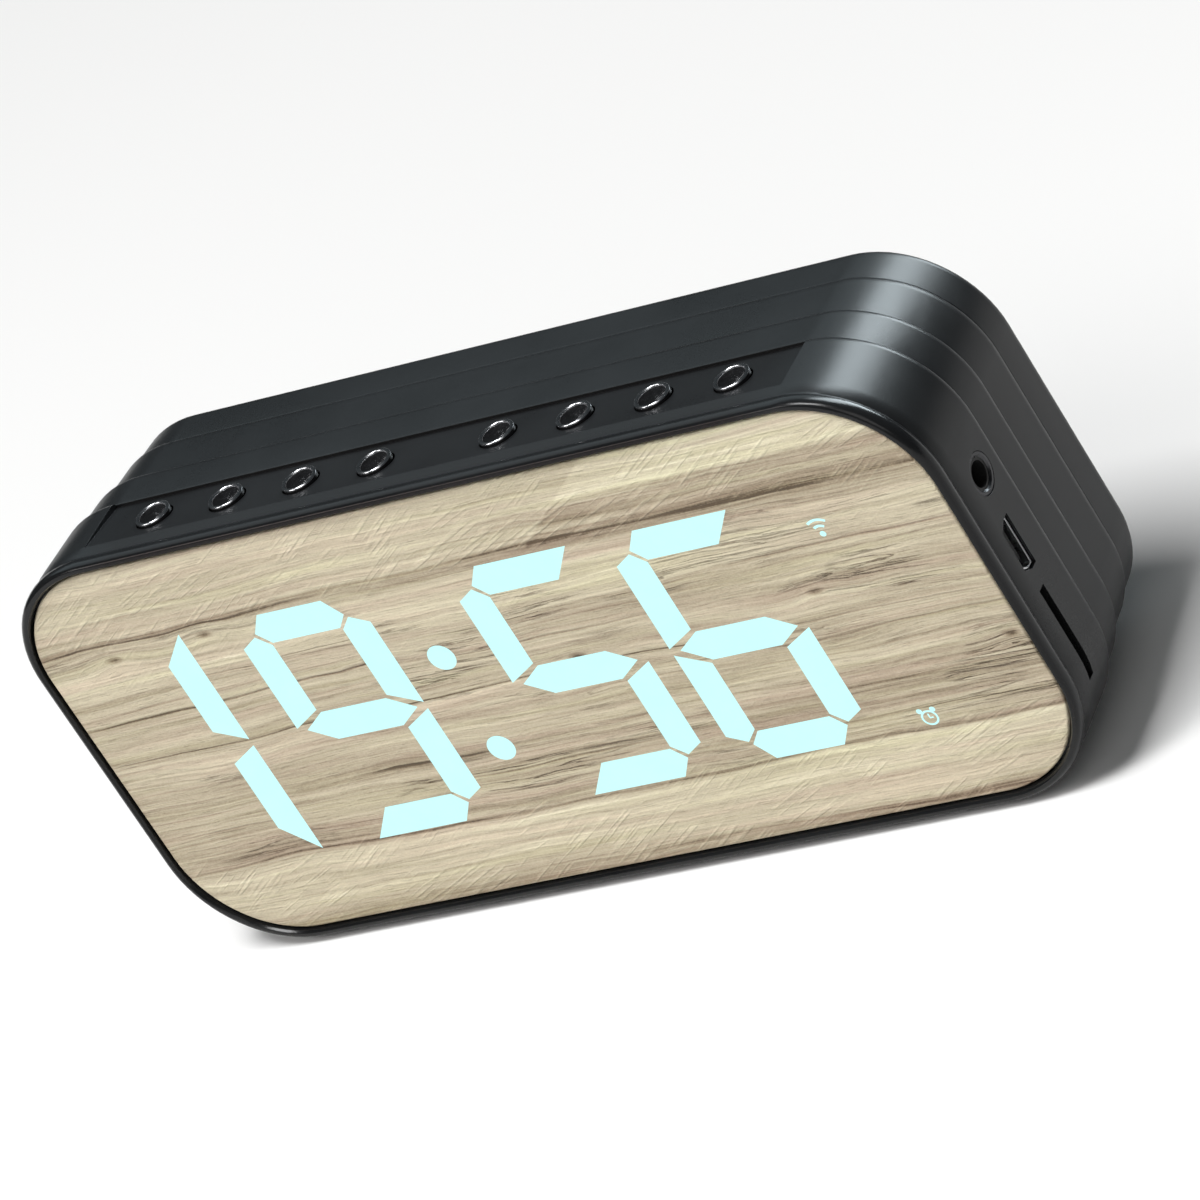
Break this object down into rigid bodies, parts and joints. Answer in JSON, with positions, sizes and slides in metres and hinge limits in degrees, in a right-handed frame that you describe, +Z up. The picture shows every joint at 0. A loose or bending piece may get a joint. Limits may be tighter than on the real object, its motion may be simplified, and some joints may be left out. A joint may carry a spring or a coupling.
{
  "type": "alarm clock",
  "caption": "Wood-fronted digital alarm clock and speaker: rounded stepped case, lit digits, sprung buttons on top, audio, charging and card sockets at the side.",
  "frame": {"origin": "on the table under the middle of the clock's outline, at the bottom of the feet", "axes": "+X to the right as the display is read, +Y back, +Z up; the display faces -Y"},
  "size_m": [0.1468, 0.0366, 0.0683],
  "materials": {
    "case_plastic": "fine satin moulded plastic",
    "cover_plastic": "fine texture moulded plastic",
    "wood_panel": "pale sawn oak grain, satin",
    "lit_segment": "pale cyan, lit",
    "adhesive": "black foam tape",
    "diffuser_film": "milky film",
    "mask_plastic": "matt black",
    "led_chip": "clear resin",
    "board": "green solder mask",
    "chip": "moulded epoxy",
    "shield_can": "tinned steel",
    "capacitor": "bare can",
    "connector": "ivory nylon",
    "header": "black nylon",
    "screw_steel": "dark zinc plate",
    "jack_plastic": "black moulded plastic",
    "jack_ring": "bright nickel",
    "socket_steel": "stamped steel",
    "tongue_plastic": "black moulded plastic",
    "button_plastic": "gloss rim, satin dish",
    "plunger_plastic": "black moulded plastic",
    "switch_plastic": "black moulded plastic",
    "foot_rubber": "soft rubber",
    "speaker_steel": "black paint",
    "magnet_steel": "zinc plate",
    "speaker_paper": "coated paper",
    "surround_rubber": "soft rubber",
    "foam": "closed-cell foam",
    "battery_pouch": "laminated foil",
    "lead_pvc": "PVC insulation"
  },
  "bodies": {
    "case": {"aux_jack": "jack_plastic", "aux_jack_ring": "jack_ring", "battery": "battery_pouch", "battery_lead": "lead_pvc", "battery_pad": "foam", "board_capacitors": "capacitor", "board_chips": "chip", "board_connectors": "connector", "board_header": "header", "board_screws": "screw_steel", "button_board": "board", "card_socket": "socket_steel", "colon_dots": "lit_segment", "cover_screws": "screw_steel", "front_feet": "foot_rubber", "front_housing": "case_plastic", "front_panel": "wood_panel", "hour_ones_digit": "lit_segment", "hour_tens_digit": "lit_segment", "led_chips": "led_chip", "light_diffuser": "diffuser_film", "light_mask": "mask_plastic", "main_board": "board", "minute_ones_digit": "lit_segment", "minute_tens_digit": "lit_segment", "panel_adhesive": "adhesive", "radio_module": "shield_can", "rear_cover": "cover_plastic", "rear_feet": "foot_rubber", "speaker_cone_left": "speaker_paper", "speaker_cone_right": "speaker_paper", "speaker_frame_left": "speaker_steel", "speaker_frame_right": "speaker_steel", "speaker_gaskets": "foam", "speaker_leads": "lead_pvc", "speaker_magnet_left": "magnet_steel", "speaker_magnet_right": "magnet_steel", "speaker_screws": "screw_steel", "speaker_surround_left": "surround_rubber", "speaker_surround_right": "surround_rubber", "status_icons": "lit_segment", "switch_bodies": "switch_plastic", "usb_shell": "socket_steel", "usb_tongue": "tongue_plastic"},
    "button_key_1": {"button_1": "button_plastic", "switch_plunger_1": "plunger_plastic"},
    "button_key_2": {"button_2": "button_plastic", "switch_plunger_2": "plunger_plastic"},
    "button_key_3": {"button_3": "button_plastic", "switch_plunger_3": "plunger_plastic"},
    "button_key_4": {"button_4": "button_plastic", "switch_plunger_4": "plunger_plastic"},
    "button_key_5": {"button_5": "button_plastic", "switch_plunger_5": "plunger_plastic"},
    "button_key_6": {"button_6": "button_plastic", "switch_plunger_6": "plunger_plastic"},
    "button_key_7": {"button_7": "button_plastic", "switch_plunger_7": "plunger_plastic"},
    "button_key_8": {"button_8": "button_plastic", "switch_plunger_8": "plunger_plastic"}
  },
  "joints": [
    {"name": "button_1_press", "type": "slide", "parent": "case", "child": "button_key_1", "axis": [0, 0, -1], "range_m": [0, 0.0004], "stiffness_N_per_m": 4000, "springref_m": -0.0001},
    {"name": "button_2_press", "type": "slide", "parent": "case", "child": "button_key_2", "axis": [0, 0, -1], "range_m": [0, 0.0004], "stiffness_N_per_m": 4000, "springref_m": -0.0001},
    {"name": "button_3_press", "type": "slide", "parent": "case", "child": "button_key_3", "axis": [0, 0, -1], "range_m": [0, 0.0004], "stiffness_N_per_m": 4000, "springref_m": -0.0001},
    {"name": "button_4_press", "type": "slide", "parent": "case", "child": "button_key_4", "axis": [0, 0, -1], "range_m": [0, 0.0004], "stiffness_N_per_m": 4000, "springref_m": -0.0001},
    {"name": "button_5_press", "type": "slide", "parent": "case", "child": "button_key_5", "axis": [0, 0, -1], "range_m": [0, 0.0004], "stiffness_N_per_m": 4000, "springref_m": -0.0001},
    {"name": "button_6_press", "type": "slide", "parent": "case", "child": "button_key_6", "axis": [0, 0, -1], "range_m": [0, 0.0004], "stiffness_N_per_m": 4000, "springref_m": -0.0001},
    {"name": "button_7_press", "type": "slide", "parent": "case", "child": "button_key_7", "axis": [0, 0, -1], "range_m": [0, 0.0004], "stiffness_N_per_m": 4000, "springref_m": -0.0001},
    {"name": "button_8_press", "type": "slide", "parent": "case", "child": "button_key_8", "axis": [0, 0, -1], "range_m": [0, 0.0004], "stiffness_N_per_m": 4000, "springref_m": -0.0001}
  ]
}
